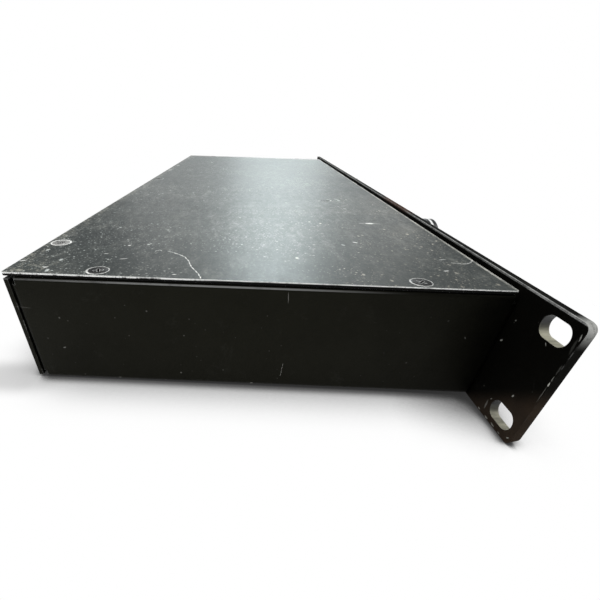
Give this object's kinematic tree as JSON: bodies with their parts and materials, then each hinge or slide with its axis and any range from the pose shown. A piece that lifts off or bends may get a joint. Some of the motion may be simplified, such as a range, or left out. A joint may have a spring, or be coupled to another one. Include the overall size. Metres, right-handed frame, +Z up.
{
  "type": "wireless receiver unit",
  "caption": "One-unit 19 inch rack wireless microphone receiver with a flat sheet case, slotted rack ears, large data wheel, displays, buttons and rear sockets.",
  "frame": {"origin": "centre of the pattern of four rack holes, on the back face of the front panel", "axes": "+X along the front panel to the right seen from the front, -Y out of the front, +Y towards the rear connectors, +Z up"},
  "size_m": [0.4826, 0.1969, 0.0436],
  "materials": {
    "case_paint": "satin black powder coat",
    "cover_paint": "satin black paint, dusty and scratched",
    "panel_paint": "satin black, edges worn",
    "zinc_steel": "zinc plated",
    "black_screws": "black zinc, worn",
    "tinned_steel": "tinned",
    "circuit_board": "green solder mask",
    "parts_black": "moulded",
    "transformer": "varnished",
    "heatsink": "extruded",
    "display": "unlit liquid crystal",
    "window": "tinted, glossy",
    "red_window": "dark red filter",
    "light_pipe": "clear, unlit",
    "control_metal": "satin",
    "nickel": "nickel plated",
    "socket_plastic": "black moulding",
    "switch_plastic": "black moulding",
    "output_shell": "black die casting",
    "gold_pins": "gold plated",
    "tin_pins": "tinned",
    "wheel_black": "glossy black",
    "knob_black": "satin black",
    "button_grey": "dark grey",
    "slider_white": "off-white",
    "wires": "insulated leads"
  },
  "bodies": {
    "case": {"chassis_tray": "case_paint", "rear_panel": "case_paint", "top_cover": "cover_paint", "front_panel": "panel_paint", "cross_brace": "zinc_steel", "clinch_nuts": "zinc_steel", "cover_screws": "black_screws", "front_panel_screws": "black_screws", "rear_panel_screws": "black_screws", "connector_screws": "black_screws", "board_standoffs": "zinc_steel", "front_board_spacers": "zinc_steel", "board_screws": "zinc_steel", "main_board": "circuit_board", "main_board_parts": "parts_black", "power_board": "circuit_board", "power_transformer": "transformer", "power_heatsink": "heatsink", "power_capacitors": "parts_black", "receiver_board_a": "circuit_board", "receiver_board_b": "circuit_board", "shield_can_a": "tinned_steel", "shield_can_b": "tinned_steel", "front_board": "circuit_board", "display_module_a": "display", "display_module_b": "display", "display_windows": "window", "sync_window": "red_window", "status_lights": "light_pipe", "button_switches": "parts_black", "encoder_body": "control_metal", "pot_body": "control_metal", "control_nuts": "nickel", "headphone_jack": "socket_plastic", "jack_nuts": "nickel", "power_switch_body": "switch_plastic", "line_jack_a": "socket_plastic", "line_jack_b": "socket_plastic", "xlr_output_a": "output_shell", "xlr_output_b": "output_shell", "xlr_inserts": "output_shell", "xlr_pins": "gold_pins", "antenna_socket_a": "nickel", "antenna_socket_b": "nickel", "antenna_nuts": "nickel", "mains_inlet": "socket_plastic", "mains_pins": "tin_pins", "level_switches": "parts_black", "internal_wiring": "wires"},
    "data_wheel": {"data_wheel": "wheel_black", "wheel_shaft": "control_metal"},
    "level_knob": {"level_knob": "knob_black", "knob_shaft": "control_metal"},
    "sync_button": {"sync_button": "button_grey"},
    "menu_button": {"menu_button": "button_grey"},
    "channel_a_button": {"channel_a_button": "button_grey"},
    "channel_b_button": {"channel_b_button": "button_grey"},
    "power_rocker": {"power_rocker": "switch_plastic"},
    "level_slider_a": {"level_slider_a": "slider_white"},
    "level_slider_b": {"level_slider_b": "slider_white"}
  },
  "joints": [
    {"name": "data_wheel_turn", "type": "hinge", "parent": "case", "child": "data_wheel", "pos_m": [-0.1042, 0, 0], "axis": [0, -1, 0], "continuous": true},
    {"name": "level_knob_turn", "type": "hinge", "parent": "case", "child": "level_knob", "pos_m": [0.065, 0, 0.0115], "axis": [0, -1, 0], "range_deg": [-150, 150]},
    {"name": "sync_button_press", "type": "slide", "parent": "case", "child": "sync_button", "axis": [0, 1, 0], "range_m": [0, 0.0006], "stiffness_N_per_m": 400, "springref_m": -0.0006},
    {"name": "menu_button_press", "type": "slide", "parent": "case", "child": "menu_button", "axis": [0, 1, 0], "range_m": [0, 0.0006], "stiffness_N_per_m": 400, "springref_m": -0.0006},
    {"name": "channel_a_button_press", "type": "slide", "parent": "case", "child": "channel_a_button", "axis": [0, 1, 0], "range_m": [0, 0.0006], "stiffness_N_per_m": 400, "springref_m": -0.0006},
    {"name": "channel_b_button_press", "type": "slide", "parent": "case", "child": "channel_b_button", "axis": [0, 1, 0], "range_m": [0, 0.0006], "stiffness_N_per_m": 400, "springref_m": -0.0006},
    {"name": "power_rocker_tilt", "type": "hinge", "parent": "case", "child": "power_rocker", "pos_m": [0.187, -0.0005, 0], "axis": [1, 0, 0], "range_deg": [0, 18]},
    {"name": "level_slider_a_slide", "type": "slide", "parent": "case", "child": "level_slider_a", "axis": [1, 0, 0], "range_m": [0, 0.0026]},
    {"name": "level_slider_b_slide", "type": "slide", "parent": "case", "child": "level_slider_b", "axis": [1, 0, 0], "range_m": [0, 0.0026]}
  ]
}
